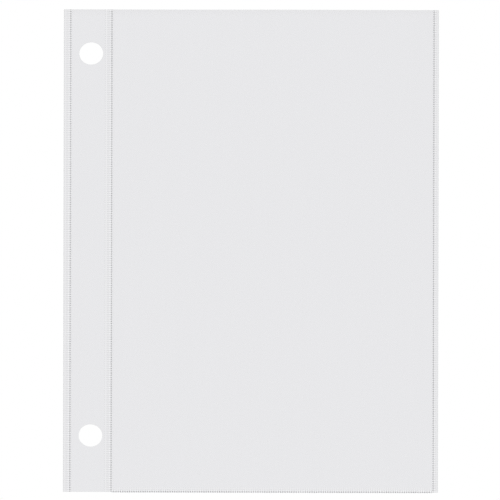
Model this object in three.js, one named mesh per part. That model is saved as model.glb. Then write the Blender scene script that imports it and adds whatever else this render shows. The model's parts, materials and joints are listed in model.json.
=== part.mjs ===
// A photo pocket page for a two-ring album, in millimetres.
//
// Two clear films lie face to face. Serrated heat seals join them down both
// sides of the punched binding strip, down the fore edge and along the bottom
// of the pocket. The pocket's top stays open, so a print slides in from above,
// and the binding strip is an open-ended flat sleeve with two ring holes.
//
// The page stands upright, as it hangs on its rings: +X runs from the binding
// strip to the fore edge, +Z points up and the front of the page faces -Y. The
// origin is midway between the ring holes, in the middle of the thickness.

import * as THREE from "three";

// Across the page. The crease is the inner line of the divider seal, where the
// page folds, and the pocket reaches from it to the fore edge.
const holeFromSpine = 8.9;
const holeToCrease = 6.75;
const pocketWidth = 106.25; // takes a print 101.6 wide

// Up the page, which takes a print 152.4 high
const lowerHoleAboveBottom = 18.3;
const holeSpacing = 124.2;
const upperHoleBelowTop = 14.4;

// Through the page
const filmThickness = 0.12;
const filmGap = 0.3; // between the two films, enough for one photographic print

// The ring holes
const holeDiameter = 7.4;
const holeSegments = 48;

// The seals
const spineSealWidth = 2.4;
const dividerSealWidth = 2.4;
const foreSealWidth = 1.75;
const bottomSealHeight = 1.5;
const toothPitch = 0.73;
const toothDepth = 0.3;

// Clearances
const filmToCrease = 0.6; // lets the films swing past each other as the page folds
const sealToCrease = 0.25;
const sealToSeal = 0.3;

// Places that follow from the sizes above
const spineX = -holeFromSpine;
const creaseX = holeToCrease;
const topZ = holeSpacing / 2 + upperHoleBelowTop;
const bottomZ = -holeSpacing / 2 - lowerHoleAboveBottom;
const pageHeight = topZ - bottomZ;
const innerFace = filmGap / 2;
const outerFace = innerFace + filmThickness;

function clearPlastic(color, roughness, opacity) {
  return new THREE.MeshStandardMaterial({
    color,
    roughness,
    metalness: 0,
    transparent: true,
    opacity,
  });
}

const filmMaterial = clearPlastic(0xe8e8ea, 0.35, 0.5);
const sealMaterial = clearPlastic(0xd3d3d6, 0.5, 0.8);

// Gives an outline, drawn across (x) and up (y) the page, its place through the
// page's thickness: it fills the space from front to back, two values of Y.
function layer(outline, front, back) {
  const geometry = new THREE.ExtrudeGeometry(outline, {
    depth: back - front,
    bevelEnabled: false,
    curveSegments: holeSegments / 2,
  });
  geometry.rotateX(Math.PI / 2);
  geometry.translate(0, back, 0);
  return geometry;
}

function rectangle(left, bottom, right, top) {
  const outline = new THREE.Shape();
  outline.moveTo(left, bottom);
  outline.lineTo(right, bottom);
  outline.lineTo(right, top);
  outline.lineTo(left, top);
  outline.closePath();
  return outline;
}

// The outline of a seal that runs along x for its length and rises to its
// width: straight along y = 0, with a row of teeth along the other side.
function serratedStrip(length, width) {
  const teeth = Math.max(1, Math.round(length / toothPitch));
  const pitch = length / teeth;
  const root = width - toothDepth;
  const outline = new THREE.Shape();
  outline.moveTo(0, 0);
  outline.lineTo(length, 0);
  outline.lineTo(length, root);
  for (let tooth = teeth - 1; tooth >= 0; tooth--) {
    outline.lineTo((tooth + 0.5) * pitch, width);
    outline.lineTo(tooth * pitch, root);
  }
  outline.closePath();
  return outline;
}

function mesh(name, geometry, material) {
  const piece = new THREE.Mesh(geometry, material);
  piece.name = name;
  return piece;
}

// A seal fills the gap between the films, so it touches both of them.
function seal(name, length, width) {
  const geometry = layer(serratedStrip(length, width), -innerFace, innerFace);
  return mesh(name, geometry, sealMaterial);
}

// Turned a quarter turn anticlockwise, seen from the front, a seal runs up the
// page with its teeth to the left. Turned clockwise, it runs down the page with
// its teeth to the right.
function upright(piece, teethSide, x, bottom, length) {
  const teethLeft = teethSide === "left";
  piece.rotation.y = teethLeft ? -Math.PI / 2 : Math.PI / 2;
  piece.position.set(x, 0, teethLeft ? bottom : bottom + length);
  return piece;
}

function bindingFilm(name, front, back) {
  const edge = creaseX - filmToCrease;
  const outline = rectangle(spineX, bottomZ, edge, topZ);
  for (const z of [holeSpacing / 2, -holeSpacing / 2]) {
    const hole = new THREE.Path();
    hole.absarc(0, z, holeDiameter / 2, 0, 2 * Math.PI, true);
    outline.holes.push(hole);
  }
  return mesh(name, layer(outline, front, back), filmMaterial);
}

// The spine seal's outer side is the page's edge. Its teeth point to the holes.
function spineSeal() {
  const piece = seal("spine_weld", pageHeight, spineSealWidth);
  return upright(piece, "right", spineX, bottomZ, pageHeight);
}

// The divider seal's teeth reach towards the crease and stop short of it.
function dividerSeal() {
  const width = dividerSealWidth - sealToCrease;
  const piece = seal("divider_weld", pageHeight, width);
  return upright(piece, "right", creaseX - dividerSealWidth, bottomZ, pageHeight);
}

function bindingStrip() {
  const strip = new THREE.Group();
  strip.add(bindingFilm("binding_front_film", -outerFace, -innerFace));
  strip.add(bindingFilm("binding_back_film", innerFace, outerFace));
  strip.add(spineSeal());
  strip.add(dividerSeal());
  return strip;
}

// The pocket's own pieces are placed from the foot of the crease.
function pocketFilm(name, front, back) {
  const outline = rectangle(filmToCrease, 0, pocketWidth, pageHeight);
  return mesh(name, layer(outline, front, back), filmMaterial);
}

function foreEdgeSeal() {
  const piece = seal("fore_edge_weld", pageHeight, foreSealWidth);
  return upright(piece, "left", pocketWidth, 0, pageHeight);
}

// The bottom seal is turned over in the page's plane, so that its teeth make
// the pocket's bottom edge.
function bottomSeal() {
  const right = pocketWidth - foreSealWidth - sealToSeal;
  const piece = seal("bottom_weld", right - filmToCrease, bottomSealHeight);
  piece.rotation.y = Math.PI;
  piece.position.set(right, 0, bottomSealHeight);
  return piece;
}

// The front film swings about its own lower edge, as the pocket's mouth opens.
function pocketFront() {
  const front = new THREE.Group();
  front.add(pocketFilm("pocket_front_film", -filmThickness, 0));
  front.position.y = -innerFace;
  return front;
}

function pocket() {
  const group = new THREE.Group();
  group.add(pocketFilm("pocket_back_film", innerFace, outerFace));
  group.add(foreEdgeSeal());
  group.add(bottomSeal());
  group.add(pocketFront());
  group.position.set(creaseX, 0, bottomZ);
  return group;
}

const page = new THREE.Group();
page.name = "photo_pocket_page";
page.add(bindingStrip());
page.add(pocket());

export default page;
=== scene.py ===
# A photo pocket page for a two-ring album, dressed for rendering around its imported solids.
#
# The page hangs upright as on its rings: +X runs from the binding strip to the fore edge,
# +Z points up, and the front of the page faces -Y. Everything is in metres.

import json
import math
from collections import namedtuple

import bmesh
import bpy
import numpy as np
from mathutils import Euler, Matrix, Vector


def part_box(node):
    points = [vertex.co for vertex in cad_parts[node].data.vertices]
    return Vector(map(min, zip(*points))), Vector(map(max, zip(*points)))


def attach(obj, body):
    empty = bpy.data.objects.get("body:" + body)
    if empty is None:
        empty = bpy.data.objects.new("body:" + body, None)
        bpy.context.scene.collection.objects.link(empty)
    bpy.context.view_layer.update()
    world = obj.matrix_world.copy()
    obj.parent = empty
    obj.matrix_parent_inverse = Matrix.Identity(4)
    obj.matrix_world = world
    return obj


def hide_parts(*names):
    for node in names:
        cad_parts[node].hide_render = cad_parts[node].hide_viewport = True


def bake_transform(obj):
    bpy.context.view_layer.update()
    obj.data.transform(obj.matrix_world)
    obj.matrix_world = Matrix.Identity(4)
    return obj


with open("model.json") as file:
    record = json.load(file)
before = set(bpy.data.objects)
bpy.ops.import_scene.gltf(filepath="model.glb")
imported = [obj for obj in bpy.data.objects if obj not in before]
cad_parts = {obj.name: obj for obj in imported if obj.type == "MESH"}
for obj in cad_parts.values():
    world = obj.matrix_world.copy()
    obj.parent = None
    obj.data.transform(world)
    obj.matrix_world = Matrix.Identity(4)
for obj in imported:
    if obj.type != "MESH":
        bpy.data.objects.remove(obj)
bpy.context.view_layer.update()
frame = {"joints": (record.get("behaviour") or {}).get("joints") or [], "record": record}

MM = 0.001
FRONT = -1
BACK = 1
UP = Vector((0, 0, 1))
DOWN = Vector((0, 0, -1))
LEFT = Vector((-1, 0, 0))
RIGHT = Vector((1, 0, 0))

# The films
TOP_TRIM = 0.1 * MM  # the page's top edge is cut a hair short
BEND_REACH = 0.6 * MM  # the films turn within this distance of the crease, on each side
JOIN_GAP = 0.01 * MM  # between the front film's two parts
PINCHED_GAP = 0.03 * MM  # from the page's middle plane to a film's inner face, in a seal
PINCH_RAMP = 2.6 * MM  # the films come apart within this distance of a seal
POCKET_SWELL = 0.22 * MM
SWELL_RISE = 3  # the swell is full at one part in this many of the pocket's height
POCKET_WAVE = 0.16 * MM
WAVE_RISE = 6  # the wave is full at one part in this many of it
WAVES_ACROSS = 2.3  # half waves across the pocket
WAVES_UP = 1.7  # half waves up it
WAVE_START_ACROSS = 0.6  # the waves' phase at the crease
WAVE_START_UP = 0.4  # and at the bottom seal
HOLE_WIDEN = 1.045  # the punched holes are a little wider than they are tall
HOLE_LOWER = 0.98

# Distances between the films' lines of mesh
SAME_LINE = 0.02 * MM  # lines closer than this count as one
SPINE_STEP = 1.2 * MM
STRIP_STEP = 0.7 * MM
BEND_STEP = 0.12 * MM
PINCH_STEP = 0.5 * MM
FORE_STEP = 0.9 * MM
BOTTOM_STEP = 0.75 * MM
COARSE_STEP = 3.2 * MM
HOLE_PATCH = 4.4 * MM  # half the side of the square of mesh round a ring hole
HOLE_PATCH_CELLS = 16
HOLE_RINGS = 4
BORDER_START = -0.75 * math.pi  # the square's lower left corner, seen from the hole

# The seals' teeth and ribs
TOOTH_PITCH = 0.73 * MM
TOOTH_DEPTH = 0.3 * MM
ROWS_PER_TOOTH = 6
RIB_ROWS = (0, 1, 5)  # the rows of points of each tooth at its rib, where the film is flat
GAP_ROWS = (2, 3)  # the rows of faces between two ribs; beside the bead they carry painted highlights
WIDE_GAP_ROWS = (1, 2, 3)  # the same in the bottom seal, where the ribs look narrower
PRESSED = 0.02 * MM  # half the thickness at a rib
RAISED = 0.17 * MM  # half the thickness between two ribs, beside the bead
RIB_REACH = 0.5 * MM  # between ribs the film stands raised this far before the bead

# Where a seal's band changes, as shares of its width
OUTER_RIB_SHADE = 0.02  # painted shade on the ribs starts
PLAIN_BAND = 0.18  # it ends
INNER_RIB_SHADE = 0.34  # the second row of painted shade on the ribs starts
RISE_START = 0.50  # the film starts to rise between the ribs

# The seals' beads of melted film
BEAD_HALF_WIDTH = 0.15 * MM
BEAD_HEIGHT = 0.19 * MM
BEAD_FLANK = 0.3  # the bead gains its height within this share of its half width
INNER_SWING = 0.04 * MM  # the bead is wider at each rib, by this much on the band's side
OUTER_SWING = 0.07 * MM  # and by this much where the teeth stand free
LINE_SHIFT = 0.05 * MM  # the bead's middle lies this much inside the line of the teeth

# Where the seals end
SIDE_MARGIN = 0.25 * MM  # past the bead, in the spine seal and the fore edge seal
DIVIDER_MARGIN = 0.15 * MM
BOTTOM_MARGIN = 0.2 * MM
EDGE_TAPER = 0.05 * MM  # a seal thins out over this width past its margin
BOTTOM_START = 0.2 * MM  # from the crease to the bottom seal

# All plastic. The scales of noise count features to a metre.
NOISE_LOW = 0.3  # most of the noise lies between these two values
NOISE_HIGH = 0.7
STREAK_SCALE = 420
STREAK_DETAIL = 3
STREAK_STRETCH = (1, 1, 0.04)
PATCH_SCALE = 90
PATCH_DETAIL = 3
GLOSS_RANGE = 0.06
GRAIN_DETAIL = 2
GRAIN_STRENGTH = 0.35
PLASTIC_IOR = 1.49
SLIGHT = 0.02  # how far the streaks change the colour
MARKED = 0.08

# The films' finish. A grain is its noise scale and its height.
FILM_COLOUR = (0.303, 0.303, 0.362)
FILM_ALPHA = 0.08
SEALED_ALPHA = 0.066  # the film is clearer where it is fused to the other one
FILM_ROUGHNESS = 0.36
FILM_GRAIN = (5200, 0.004 * MM)
CUT_EDGE_COLOUR = (0.62, 0.62, 0.64)
CUT_EDGE_ALPHA = 0.5
CUT_EDGE_ROUGHNESS = 0.42
CUT_EDGE_GRAIN = (3000, 0.004 * MM)

# The seals' finish
SEAL_COLOUR = (0.62, 0.62, 0.63)
BLUE_CAST = 0.01
SEAL_GRAIN = (2600, 0.006 * MM)
BAND_ALPHA = 0.01
# The dark grey on the band's ribs is painted shade of the embossing
RIB_SHADE_LEVEL = 0.36
RIB_SHADE_ALPHA = 0.08
# The pale flecks beside the bead are painted highlights, glints on the embossed ribs
PAINTED_GLINT_ALPHA = 0.84
BEAD_ALPHA = 0.88
BAND_ROUGHNESS = 0.45
PAINTED_GLINT_ROUGHNESS = 0.35
BEAD_ROUGHNESS = 0.4

# The camera's view of the page, from the photo's own framing
LENS = 100.0
SENSOR = 36.0
FRAME_WIDTH = 162.56 * MM
VIEW_CENTRE = (51.75 * MM, -1.68 * MM)
PAGE_TURN = math.radians(0.126)
CLIP_NEAR = 10 * MM
CLIP_FAR = 10

# The studio
FLOOR_DEPTH = -160 * MM
FLOOR_RADIUS = 400 * MM
FLOOR_SOLID = 250 * MM  # the floor is solid up to this distance from its middle
FLOOR_SIDES = 96
FLOOR_COLOUR = (0.9, 0.9, 0.9, 1)
FLOOR_ROUGHNESS = 0.8
FLOOR_SPECULAR = 0.1
WHITE = (1, 1, 1, 1)
BACKDROP = 1.0
AMBIENT = 0.65

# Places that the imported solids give
record = frame["record"]
joints = {joint["name"]: joint for joint in frame["joints"]}
mounts = {mount["name"]: mount for mount in record["mounts"]}
strip_low, strip_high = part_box("binding_back_film")
spine_x = strip_low.x
fore_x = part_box("pocket_back_film")[1].x
bottom_z = strip_low.z
top_z = strip_high.z - TOP_TRIM
rest_gap = strip_low.y
film_thickness = strip_high.y - strip_low.y
crease_x = joints["page_fold"]["pos_m"][0]
bend_start = crease_x - BEND_REACH
bend_end = crease_x + BEND_REACH
hole_radius = mounts["ring_holes"]["dims"]["hole_r_mm"] * MM
hole_spacing = mounts["ring_holes"]["dims"]["spacing_y_mm"] * MM
upper_hole = (0.0, hole_spacing / 2)
lower_hole = (0.0, -hole_spacing / 2)
spine_seal_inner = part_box("spine_weld")[1].x
divider_seal_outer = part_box("divider_weld")[0].x
fore_seal_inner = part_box("fore_edge_weld")[0].x
bottom_seal_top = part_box("bottom_weld")[1].z
bottom_seal_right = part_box("bottom_weld")[1].x


def clamped(value):
    """The value, kept between 0 and 1."""
    return min(1.0, max(0.0, value))


def ease(value):
    """Rises smoothly from 0 to 1 as the value does."""
    value = clamped(value)
    return value * value * (3 - 2 * value)


def spread(low, high, step):
    """Evenly spaced values from low to high, both included, about a step apart."""
    count = max(1, round((high - low) / step))
    return list(np.linspace(low, high, count + 1))


def joined(*runs):
    """Sorted values of several runs, with those that meet counted once."""
    values = sorted(value for run in runs for value in run)
    kept = values[:1]
    for value in values[1:]:
        if value - kept[-1] > SAME_LINE:
            kept.append(value)
    return kept


# Shapes of the films

def strip_opening(x):
    """0 where the binding strip's films are sealed together, 1 where they lie apart."""
    from_spine = ease((x - spine_seal_inner) / PINCH_RAMP)
    from_divider = ease((divider_seal_outer - x) / PINCH_RAMP)
    return min(from_spine, from_divider)


def pocket_opening(x, z):
    """0 where the pocket's films are sealed together, 1 where they lie apart."""
    from_crease = ease((x - crease_x - BEND_REACH) / PINCH_RAMP)
    from_fore = ease((fore_seal_inner - x) / PINCH_RAMP)
    from_bottom = ease((z - bottom_seal_top) / PINCH_RAMP)
    return min(from_crease, from_fore) * from_bottom


def pocket_place(x, z):
    """Across the pocket from 0 to 1, and up it from 0 to 1."""
    across = (x - crease_x) / (fore_seal_inner - crease_x)
    up = (z - bottom_seal_top) / (top_z - bottom_seal_top)
    return clamped(across), clamped(up)


def half_gap(x, z):
    """From the page's middle to a film's inner face."""
    if x <= crease_x:
        return PINCHED_GAP + (rest_gap - PINCHED_GAP) * strip_opening(x)
    across, up = pocket_place(x, z)
    swell = POCKET_SWELL * math.sin(math.pi * across) * ease(SWELL_RISE * up)
    return PINCHED_GAP + (rest_gap - PINCHED_GAP + swell) * pocket_opening(x, z)


def middle(x, z):
    """How far the page's middle wanders from flat: a soft wave in the pocket, none in the seals."""
    if x <= crease_x:
        return 0.0
    across, up = pocket_place(x, z)
    wave_across = math.sin(WAVES_ACROSS * math.pi * across + WAVE_START_ACROSS)
    wave_up = math.cos(WAVES_UP * math.pi * up + WAVE_START_UP)
    wave = wave_across * wave_up
    return POCKET_WAVE * wave * math.sin(math.pi * across) * ease(WAVE_RISE * up)


# Film meshes

SKIN, CUT_EDGE, SEALED = range(3)


def new_piece(name, vertices, faces):
    """An object of these points and faces, placed in the scene."""
    mesh = bpy.data.meshes.new(name)
    mesh.from_pydata(vertices, [], faces)
    mesh.update()
    piece = bpy.data.objects.new(name, mesh)
    bpy.context.scene.collection.objects.link(piece)
    return piece


def cell(corner, width):
    """The face that starts at a point of a grid, where the grid's rows are width points long."""
    return corner, corner + 1, corner + width + 1, corner + width


def hole_square(hole):
    """The left, right, lower and upper side of the square of mesh round a hole."""
    x, z = hole
    return x - HOLE_PATCH, x + HOLE_PATCH, z - HOLE_PATCH, z + HOLE_PATCH


def inside(square, x, z):
    left, right, low, high = square
    return left < x < right and low < z < high


def outline_grid(columns, rows, holes):
    """A flat mesh of squares on the columns and rows, with round holes: its points and faces."""
    points = [(x, z) for z in rows for x in columns]
    width = len(columns)
    faces = []
    squares = [hole_square(hole) for hole in holes]
    for row in range(len(rows) - 1):
        for column in range(width - 1):
            x = (columns[column] + columns[column + 1]) / 2
            z = (rows[row] + rows[row + 1]) / 2
            if not any(inside(square, x, z) for square in squares):
                faces.append(cell(row * width + column, width))
    for hole, square in zip(holes, squares):
        add_hole(points, faces, hole, square_border(columns, rows, square))
    return drop_unused(points, faces)


def nearest(values, value):
    """The index of the value that lies nearest."""
    return min(range(len(values)), key=lambda index: abs(values[index] - value))


def square_border(columns, rows, square):
    """The grid's points round a square, anticlockwise from its lower left corner."""
    width = len(columns)
    left, right = (nearest(columns, side) for side in square[:2])
    low, high = (nearest(rows, side) for side in square[2:])
    border = [low * width + column for column in range(left, right)]
    border += [row * width + right for row in range(low, high)]
    border += [high * width + column for column in range(right, left, -1)]
    border += [row * width + left for row in range(high, low, -1)]
    return border


def add_hole(points, faces, hole, border):
    """Fills a square from its border with rings of faces that end on the hole's circle."""
    count = len(border)
    outer = border
    for ring in range(1, HOLE_RINGS + 1):
        share = ring / HOLE_RINGS
        inner = []
        for step, corner in enumerate(border):
            angle = 2 * math.pi * step / count + BORDER_START
            circle_x = hole[0] + HOLE_WIDEN * hole_radius * math.cos(angle)
            circle_z = hole[1] + HOLE_LOWER * hole_radius * math.sin(angle)
            x, z = points[corner]
            inner.append(len(points))
            points.append((x + (circle_x - x) * share, z + (circle_z - z) * share))
        for step in range(count):
            after = (step + 1) % count
            faces.append((outer[step], outer[after], inner[after], inner[step]))
        outer = inner


def drop_unused(points, faces):
    """Leaves out points that no face uses."""
    used = sorted({corner for face in faces for corner in face})
    place = {corner: index for index, corner in enumerate(used)}
    kept = [points[corner] for corner in used]
    return kept, [tuple(place[corner] for corner in face) for face in faces]


def film(name, columns, rows, side, holes=()):
    """One clear film as a closed sheet, on the front or the back of the page."""
    points, faces = outline_grid(columns, rows, holes)
    count = len(points)
    vertices = []
    for depth in (0.0, film_thickness):
        for x, z in points:
            y = middle(x, z) + side * (half_gap(x, z) + depth)
            vertices.append((x, y, z))
    outward = [tuple(corner + count for corner in face) for face in faces]
    inward = [tuple(reversed(face)) for face in faces]
    shell = outward + inward + rim_faces(faces, count)
    if side == BACK:
        shell = [tuple(reversed(face)) for face in shell]
    piece = new_piece(name, vertices, shell)
    for polygon in piece.data.polygons:
        polygon.use_smooth = polygon.index < 2 * len(faces)
        if not polygon.use_smooth:
            polygon.material_index = SKIN if at_join(polygon.center) else CUT_EDGE
        elif in_seal(polygon.center):
            polygon.material_index = SEALED
    return piece


def rim_faces(faces, count):
    """Faces that join the two skins of a film along its open edges."""
    directed = {(face[i], face[(i + 1) % 4]) for face in faces for i in range(4)}
    rims = [edge for edge in sorted(directed) if (edge[1], edge[0]) not in directed]
    return [(a, b, b + count, a + count) for a, b in rims]


def at_join(point):
    """True where the front film over the strip meets the one over the pocket."""
    return abs(point.x - crease_x - BEND_REACH) < 2 * JOIN_GAP


def in_seal(point):
    """True where a film is fused to the other one."""
    if point.x < crease_x:
        return point.x < spine_seal_inner or point.x > divider_seal_outer
    return point.x > fore_seal_inner or point.z < bottom_seal_top


# Where the films' columns and rows of mesh lie

def hole_lines(centre):
    """Lines of the square of mesh round a ring hole."""
    return np.linspace(centre - HOLE_PATCH, centre + HOLE_PATCH, HOLE_PATCH_CELLS + 1)


def strip_columns():
    """Columns of the binding strip, as far as the crease's far side."""
    hole_x = upper_hole[0]
    return joined(
        spread(spine_x, spine_seal_inner, SPINE_STEP),
        spread(spine_seal_inner, hole_x - HOLE_PATCH, STRIP_STEP),
        hole_lines(hole_x),
        spread(bend_start, bend_end, BEND_STEP),
    )


def pocket_columns():
    """Columns of the pocket, from the crease's far side to the fore edge."""
    return joined(
        spread(bend_end, bend_end + PINCH_RAMP, PINCH_STEP),
        spread(bend_end + PINCH_RAMP, fore_seal_inner - PINCH_RAMP, COARSE_STEP),
        spread(fore_seal_inner - PINCH_RAMP, fore_seal_inner, PINCH_STEP),
        spread(fore_seal_inner, fore_x, FORE_STEP),
    )


def page_rows():
    """Rows up the page, close together at the ring holes and at the bottom seal."""
    lower_z = lower_hole[1]
    upper_z = upper_hole[1]
    return joined(
        spread(bottom_z, bottom_seal_top, BOTTOM_STEP),
        spread(bottom_seal_top, bottom_seal_top + PINCH_RAMP, PINCH_STEP),
        spread(bottom_seal_top + PINCH_RAMP, lower_z - HOLE_PATCH, COARSE_STEP),
        hole_lines(lower_z),
        spread(lower_z + HOLE_PATCH, upper_z - HOLE_PATCH, COARSE_STEP),
        hole_lines(upper_z),
        spread(upper_z + HOLE_PATCH, top_z, COARSE_STEP),
    )


# The films

def across_crease(piece):
    """Bakes the piece's placement into its mesh."""
    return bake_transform(piece)


def back_film():
    """The back film, one sheet over the whole page, with close columns at the crease."""
    columns = joined(strip_columns(), pocket_columns())
    piece = film("film_back", columns, page_rows(), BACK, [upper_hole, lower_hole])
    return across_crease(piece)


def strip_front_film():
    """The front film over the binding strip, as far as the crease's far side."""
    holes = [upper_hole, lower_hole]
    piece = film("film_front_strip", strip_columns(), page_rows(), FRONT, holes)
    return across_crease(piece)


def pocket_front_film():
    """The front film over the pocket. Its borders stay sealed and its middle bows out."""
    columns = pocket_columns()
    columns[0] += JOIN_GAP
    piece = film("film_front_pocket", columns, page_rows(), FRONT)
    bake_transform(piece)
    return piece


# Knurled seals

# Of a seal's finishes, the dark grey on the ribs and the dark dots on the bead are painted shade,
# and the pale flecks beside the bead are painted highlights
BAND, SHADED_RIB, PRESS, PAINTED_GLINT, SHADE_DOT, BEAD = range(6)

# A column of a seal is its place across, its half thickness at a rib and in the gap between
# ribs, its swing with the teeth, and the finishes of the faces up to the next column.
Column = namedtuple("Column", "place rib_half gap_half swing rib_finish gap_finish")


def seal_columns(band_width, margin):
    """Columns of a seal whose band ends in a bead of melted film, crossed by ribs."""
    bead_start = band_width - BEAD_HALF_WIDTH
    bead_end = band_width + BEAD_HALF_WIDTH
    flank = BEAD_FLANK * BEAD_HALF_WIDTH
    rim = bead_end + margin
    return [
        Column(OUTER_RIB_SHADE * band_width, PRESSED, PRESSED, 0, SHADED_RIB, BAND),
        Column(PLAIN_BAND * band_width, PRESSED, PRESSED, 0, BAND, BAND),
        Column(INNER_RIB_SHADE * band_width, PRESSED, PRESSED, 0, SHADED_RIB, BAND),
        Column(RISE_START * band_width, PRESSED, PRESSED, 0, SHADED_RIB, BAND),
        # Beside the bead the faces between ribs are painted highlights; on the bead the faces at
        # each rib are dark dots of painted shade
        Column(bead_start - RIB_REACH, PRESSED, RAISED, 0, PRESS, PAINTED_GLINT),
        Column(bead_start, PRESSED, RAISED, -INNER_SWING, SHADE_DOT, BEAD),
        Column(bead_start + flank, BEAD_HEIGHT, BEAD_HEIGHT, -INNER_SWING, SHADE_DOT, BEAD),
        Column(bead_end - flank, BEAD_HEIGHT, BEAD_HEIGHT, OUTER_SWING, SHADE_DOT, BEAD),
        Column(bead_end, PRESSED, RAISED, OUTER_SWING, PRESS, PAINTED_GLINT),
        Column(rim, PRESSED, RAISED, 0, BAND, BAND),
        Column(rim + EDGE_TAPER, PRESSED / 2, PRESSED / 2, 0, BAND, BAND),
    ]


def knurled_seal(name, start, along, across, length, columns, gap_rows=GAP_ROWS):
    """A fused strip that runs from start along the page, made of columns side by side."""
    row_count = round(length / TOOTH_PITCH) * ROWS_PER_TOOTH
    vertices = knurled_points(start, along, across, length, columns, row_count)
    faces, finishes = knurled_faces(columns, row_count, gap_rows)
    piece = new_piece(name, vertices, faces)
    for polygon, finish in zip(piece.data.polygons, finishes):
        polygon.material_index = finish
    make_normals_agree(piece)
    return piece


def knurled_points(start, along, across, length, columns, row_count):
    """Points of a seal's two skins, row by row."""
    points = []
    for side in (FRONT, BACK):
        for row in range(row_count + 1):
            at_rib = row % ROWS_PER_TOOTH in RIB_ROWS
            wave = math.cos(2 * math.pi * row / ROWS_PER_TOOTH)
            for column in columns:
                place = column.place + column.swing * wave
                point = start + along * (length * row / row_count) + across * place
                point.y += side * (column.rib_half if at_rib else column.gap_half)
                points.append(tuple(point))
    return points


def knurled_faces(columns, row_count, gap_rows):
    """Faces of a seal's two skins and of its rim, and the finish of each."""
    width = len(columns)
    skin = (row_count + 1) * width
    faces = []
    finishes = []
    for first in (0, skin):
        for row in range(row_count):
            in_gap = row % ROWS_PER_TOOTH in gap_rows
            for index, column in enumerate(columns[:-1]):
                faces.append(cell(first + row * width + index, width))
                finishes.append(column.gap_finish if in_gap else column.rib_finish)
    faces += strip_rim(row_count, width, skin)
    finishes += [BAND] * (len(faces) - len(finishes))
    return faces, finishes


def strip_rim(row_count, width, skin):
    """Faces that close a seal along its two sides and its two ends."""
    last = row_count * width
    rims = []
    for row in range(row_count):
        for column in (0, width - 1):
            corner = row * width + column
            rims.append((corner, corner + width, corner + width + skin, corner + skin))
    for column in range(width - 1):
        for corner in (column, last + column):
            rims.append((corner, corner + 1, corner + 1 + skin, corner + skin))
    return rims


def make_normals_agree(piece):
    """Turns all faces of a closed piece outwards."""
    shape = bmesh.new()
    shape.from_mesh(piece.data)
    bmesh.ops.recalc_face_normals(shape, faces=shape.faces)
    shape.to_mesh(piece.data)
    shape.free()


def upright_seal(name, x, across, width, margin):
    """A seal that runs up the whole page, with the outer side of its band at x."""
    start = Vector((x, 0, bottom_z))
    return knurled_seal(name, start, UP, across, top_z - bottom_z, seal_columns(width, margin))


def spine_seal():
    width = spine_seal_inner - TOOTH_DEPTH / 2 - spine_x - LINE_SHIFT
    piece = upright_seal("seal_spine", spine_x, RIGHT, width, SIDE_MARGIN)
    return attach(piece, "binding_strip")


def divider_seal():
    """The divider seal's bead lies on the crease."""
    width = crease_x - divider_seal_outer - LINE_SHIFT
    piece = upright_seal("seal_divider", divider_seal_outer, RIGHT, width, DIVIDER_MARGIN)
    return across_crease(piece)


def fore_edge_seal():
    width = fore_x - fore_seal_inner - TOOTH_DEPTH / 2 - LINE_SHIFT
    piece = upright_seal("seal_fore_edge", fore_x, LEFT, width, SIDE_MARGIN)
    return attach(piece, "pocket_back")


def bottom_seal():
    """The bottom seal's bead lies on the pocket's lower edge, and its teeth reach past it."""
    height = bottom_seal_top - bottom_z - LINE_SHIFT
    left = crease_x + BOTTOM_START
    start = Vector((left, 0, bottom_seal_top))
    columns = seal_columns(height, BOTTOM_MARGIN)
    length = bottom_seal_right - left
    piece = knurled_seal("seal_bottom", start, RIGHT, DOWN, length, columns, WIDE_GAP_ROWS)
    return across_crease(piece)


# Materials

def new_material(name):
    """A material with an empty node tree but for its shader and its output."""
    material = bpy.data.materials.new(name)
    material.use_nodes = True
    nodes = material.node_tree.nodes
    nodes.clear()
    shader = nodes.new("ShaderNodeBsdfPrincipled")
    output = nodes.new("ShaderNodeOutputMaterial")
    material.node_tree.links.new(shader.outputs["BSDF"], output.inputs["Surface"])
    return material, nodes, material.node_tree.links, shader


def noise(nodes, links, scale, detail, stretch=(1, 1, 1)):
    """Noise that stays with the piece, stretched along its axes."""
    place = nodes.new("ShaderNodeTexCoord")
    mapping = nodes.new("ShaderNodeMapping")
    mapping.inputs["Scale"].default_value = stretch
    texture = nodes.new("ShaderNodeTexNoise")
    texture.inputs["Scale"].default_value = scale
    texture.inputs["Detail"].default_value = detail
    links.new(place.outputs["Object"], mapping.inputs["Vector"])
    links.new(mapping.outputs["Vector"], texture.inputs["Vector"])
    return texture.outputs["Fac"]


def between(nodes, links, factor, low, high):
    """A value that goes from low to high as the noise does from its lower to its upper part."""
    ramp = nodes.new("ShaderNodeMapRange")
    ramp.inputs["From Min"].default_value = NOISE_LOW
    ramp.inputs["From Max"].default_value = NOISE_HIGH
    ramp.inputs["To Min"].default_value = low
    ramp.inputs["To Max"].default_value = high
    links.new(factor, ramp.inputs["Value"])
    return ramp.outputs["Result"]


def tint(nodes, links, factor, dark, light):
    """A colour that goes from dark to light in the same way."""
    ramp = nodes.new("ShaderNodeValToRGB")
    ramp.color_ramp.elements[0].position = NOISE_LOW
    ramp.color_ramp.elements[0].color = (*dark, 1)
    ramp.color_ramp.elements[1].position = NOISE_HIGH
    ramp.color_ramp.elements[1].color = (*light, 1)
    links.new(factor, ramp.inputs["Fac"])
    return ramp.outputs["Color"]


def grain_bump(nodes, links, grain):
    """Normals with a fine grain."""
    scale, height = grain
    texture = noise(nodes, links, scale, GRAIN_DETAIL)
    bump = nodes.new("ShaderNodeBump")
    bump.inputs["Strength"].default_value = GRAIN_STRENGTH
    bump.inputs["Distance"].default_value = height
    links.new(texture, bump.inputs["Height"])
    return bump.outputs["Normal"]


def shade(colour, factor):
    """The colour made lighter or darker."""
    return tuple(channel * factor for channel in colour)


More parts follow.
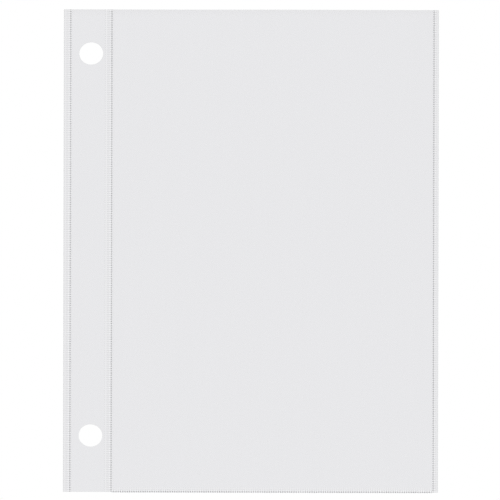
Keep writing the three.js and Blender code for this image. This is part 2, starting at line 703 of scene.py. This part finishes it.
def clear_plastic(name, colour, alpha, roughness, grain, variation=SLIGHT):
    """See-through plastic with a faint drawn streak, a fine matt grain and uneven gloss."""
    material, nodes, links, shader = new_material(name)
    streaks = noise(nodes, links, STREAK_SCALE, STREAK_DETAIL, STREAK_STRETCH)
    dark = shade(colour, 1 - variation)
    light = shade(colour, 1 + variation)
    links.new(tint(nodes, links, streaks, dark, light), shader.inputs["Base Color"])
    patches = noise(nodes, links, PATCH_SCALE, PATCH_DETAIL)
    smoothest = roughness - GLOSS_RANGE
    roughest = roughness + GLOSS_RANGE
    gloss = between(nodes, links, patches, smoothest, roughest)
    links.new(gloss, shader.inputs["Roughness"])
    links.new(grain_bump(nodes, links, grain), shader.inputs["Normal"])
    shader.inputs["Alpha"].default_value = alpha
    shader.inputs["IOR"].default_value = PLASTIC_IOR
    return material


def film_finishes():
    """Materials of a film, in the order that its faces number them."""
    skin = clear_plastic("film_clear", FILM_COLOUR, FILM_ALPHA, FILM_ROUGHNESS, FILM_GRAIN)
    sealed = clear_plastic("film_sealed", FILM_COLOUR, SEALED_ALPHA, FILM_ROUGHNESS, FILM_GRAIN)
    edge = clear_plastic(
        "film_cut_edge", CUT_EDGE_COLOUR, CUT_EDGE_ALPHA, CUT_EDGE_ROUGHNESS, CUT_EDGE_GRAIN
    )
    return skin, edge, sealed


def grey(level):
    """A grey with a slight blue cast, as clear plastic has."""
    return (level, level, level + BLUE_CAST)


def seal_finishes(name, rib_alpha, dot, shade_dot_alpha, bead, fleck):
    """Materials of a seal, in the order that its faces number them."""
    parts = [
        ("band", SEAL_COLOUR, BAND_ALPHA, BAND_ROUGHNESS, SLIGHT),
        # painted shade on the band's ribs
        ("rib", grey(RIB_SHADE_LEVEL), RIB_SHADE_ALPHA, BAND_ROUGHNESS, SLIGHT),
        ("pressed_rib", SEAL_COLOUR, rib_alpha, BAND_ROUGHNESS, SLIGHT),
        # painted highlights beside the bead
        ("fleck", grey(fleck), PAINTED_GLINT_ALPHA, PAINTED_GLINT_ROUGHNESS, SLIGHT),
        # painted shade: the bead's dark dots at each rib
        ("dot", grey(dot), shade_dot_alpha, BEAD_ROUGHNESS, MARKED),
        ("bead", grey(bead), BEAD_ALPHA, BEAD_ROUGHNESS, MARKED),
    ]
    return [
        clear_plastic(name + "_" + part, colour, alpha, roughness, SEAL_GRAIN, variation)
        for part, colour, alpha, roughness, variation in parts
    ]


# Grey levels of the side seals' parts; the dark dots are painted shade and the pale flecks painted
# highlights
def side_finishes():
    return seal_finishes(
        "side_seal", rib_alpha=0.08, dot=0.51, shade_dot_alpha=0.58, bead=0.68, fleck=0.93
    )


# Grey levels of the bottom seal's parts; the dark dots are painted shade and the pale flecks
# painted highlights
def bottom_finishes():
    return seal_finishes(
        "bottom_seal", rib_alpha=0.09, dot=0.4, shade_dot_alpha=0.65, bead=0.74, fleck=0.94
    )


def give(piece, *materials):
    """Gives a piece its materials, in order."""
    for material in materials:
        piece.data.materials.append(material)


# The page

def build_page():
    film_materials = film_finishes()
    side_materials = side_finishes()
    bottom_materials = bottom_finishes()

    back = back_film()
    strip_front = strip_front_film()
    pocket_front = pocket_front_film()
    for piece in (back, strip_front, pocket_front):
        give(piece, *film_materials)
    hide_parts("binding_back_film", "pocket_back_film")
    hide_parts("binding_front_film")
    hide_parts("pocket_front_film")

    seals = {
        "spine_weld": spine_seal(),
        "divider_weld": divider_seal(),
        "fore_edge_weld": fore_edge_seal(),
        "bottom_weld": bottom_seal(),
    }
    for node, piece in seals.items():
        give(piece, *(bottom_materials if node == "bottom_weld" else side_materials))
        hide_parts(node)


# The studio

def floor_corner(index):
    angle = 2 * math.pi * index / FLOOR_SIDES
    return FLOOR_RADIUS * math.cos(angle), FLOOR_RADIUS * math.sin(angle), FLOOR_DEPTH


def studio_floor():
    """A pale disc below the page that fades out before it could reach the main view."""
    corners = [floor_corner(index) for index in range(FLOOR_SIDES)]
    floor = new_piece("studio_floor", corners, [tuple(range(FLOOR_SIDES))])
    give(floor, floor_material())


def floor_material():
    """Matt and pale, solid in the middle and fading out towards the disc's rim."""
    material, nodes, links, shader = new_material("studio_floor")
    shader.inputs["Base Color"].default_value = FLOOR_COLOUR
    shader.inputs["Roughness"].default_value = FLOOR_ROUGHNESS
    shader.inputs["Specular IOR Level"].default_value = FLOOR_SPECULAR
    place = nodes.new("ShaderNodeTexCoord")
    flat = nodes.new("ShaderNodeVectorMath")
    flat.operation = "MULTIPLY"
    flat.inputs[1].default_value = (1, 1, 0)
    reach = nodes.new("ShaderNodeVectorMath")
    reach.operation = "LENGTH"
    fade = nodes.new("ShaderNodeMapRange")
    fade.interpolation_type = "SMOOTHSTEP"
    fade.inputs["From Min"].default_value = FLOOR_SOLID
    fade.inputs["From Max"].default_value = FLOOR_RADIUS
    fade.inputs["To Min"].default_value = 1.0
    fade.inputs["To Max"].default_value = 0.0
    links.new(place.outputs["Object"], flat.inputs[0])
    links.new(flat.outputs["Vector"], reach.inputs[0])
    links.new(reach.outputs["Value"], fade.inputs["Value"])
    links.new(fade.outputs["Result"], shader.inputs["Alpha"])
    return material


def larger(nodes, links, first, second):
    """The larger of two values."""
    compare = nodes.new("ShaderNodeMath")
    compare.operation = "MAXIMUM"
    links.new(first, compare.inputs[0])
    links.new(second, compare.inputs[1])
    return compare.outputs["Value"]


def studio_world():
    """White behind the page and in its reflections, and a plain soft light on it."""
    world = bpy.data.worlds.new("studio")
    bpy.context.scene.world = world
    world.use_nodes = True
    nodes = world.node_tree.nodes
    links = world.node_tree.links
    nodes.clear()
    path = nodes.new("ShaderNodeLightPath")
    seen = larger(nodes, links, path.outputs["Is Camera Ray"], path.outputs["Is Glossy Ray"])
    shown = larger(nodes, links, seen, path.outputs["Is Transmission Ray"])
    strength = nodes.new("ShaderNodeMapRange")
    strength.inputs["To Min"].default_value = AMBIENT
    strength.inputs["To Max"].default_value = BACKDROP
    links.new(shown, strength.inputs["Value"])
    background = nodes.new("ShaderNodeBackground")
    background.inputs["Color"].default_value = WHITE
    links.new(strength.outputs["Result"], background.inputs["Strength"])
    output = nodes.new("ShaderNodeOutputWorld")
    links.new(background.outputs["Background"], output.inputs["Surface"])


def sun(name, towards_light, strength, softness):
    """A lamp far away in the given direction, with its softness in degrees."""
    light = bpy.data.lights.new(name, "SUN")
    light.energy = strength
    light.angle = math.radians(softness)
    lamp = bpy.data.objects.new(name, light)
    lamp.rotation_mode = "QUATERNION"
    lamp.rotation_quaternion = Vector(towards_light).to_track_quat("Z", "Y")
    bpy.context.scene.collection.objects.link(lamp)


def studio_lamps():
    """The key light comes from the front left, and a weak one fills in the page's back."""
    sun("key_light", towards_light=(-0.45, -0.75, 0.48), strength=1.47, softness=25)
    sun("back_fill", towards_light=(0.5, 0.75, 0.4), strength=0.5, softness=40)


def studio_camera():
    """Looks straight at the page, turned a little so that the page leans as in the photo."""
    camera = bpy.data.cameras.new("camera")
    camera.lens = LENS
    camera.sensor_width = SENSOR
    camera.clip_start = CLIP_NEAR
    camera.clip_end = CLIP_FAR
    distance = FRAME_WIDTH * LENS / SENSOR
    item = bpy.data.objects.new("camera", camera)
    item.location = (VIEW_CENTRE[0], -distance, VIEW_CENTRE[1])
    item.rotation_euler = Euler((math.pi / 2, -PAGE_TURN, 0))
    bpy.context.scene.collection.objects.link(item)
    bpy.context.scene.camera = item


def scene_settings():
    """Light passes many thin clear faces on its way, so its paths are long.

    The denoiser's prefilter is off, because it would wipe out the seals' dots.
    """
    scene = bpy.context.scene
    scene.view_settings.view_transform = "Standard"
    scene.cycles.transparent_max_bounces = 32
    scene.cycles.min_transparent_bounces = 16
    scene.cycles.min_light_bounces = 3
    scene.cycles.denoising_prefilter = "NONE"


build_page()
studio_floor()
studio_world()
studio_lamps()
studio_camera()
scene_settings()
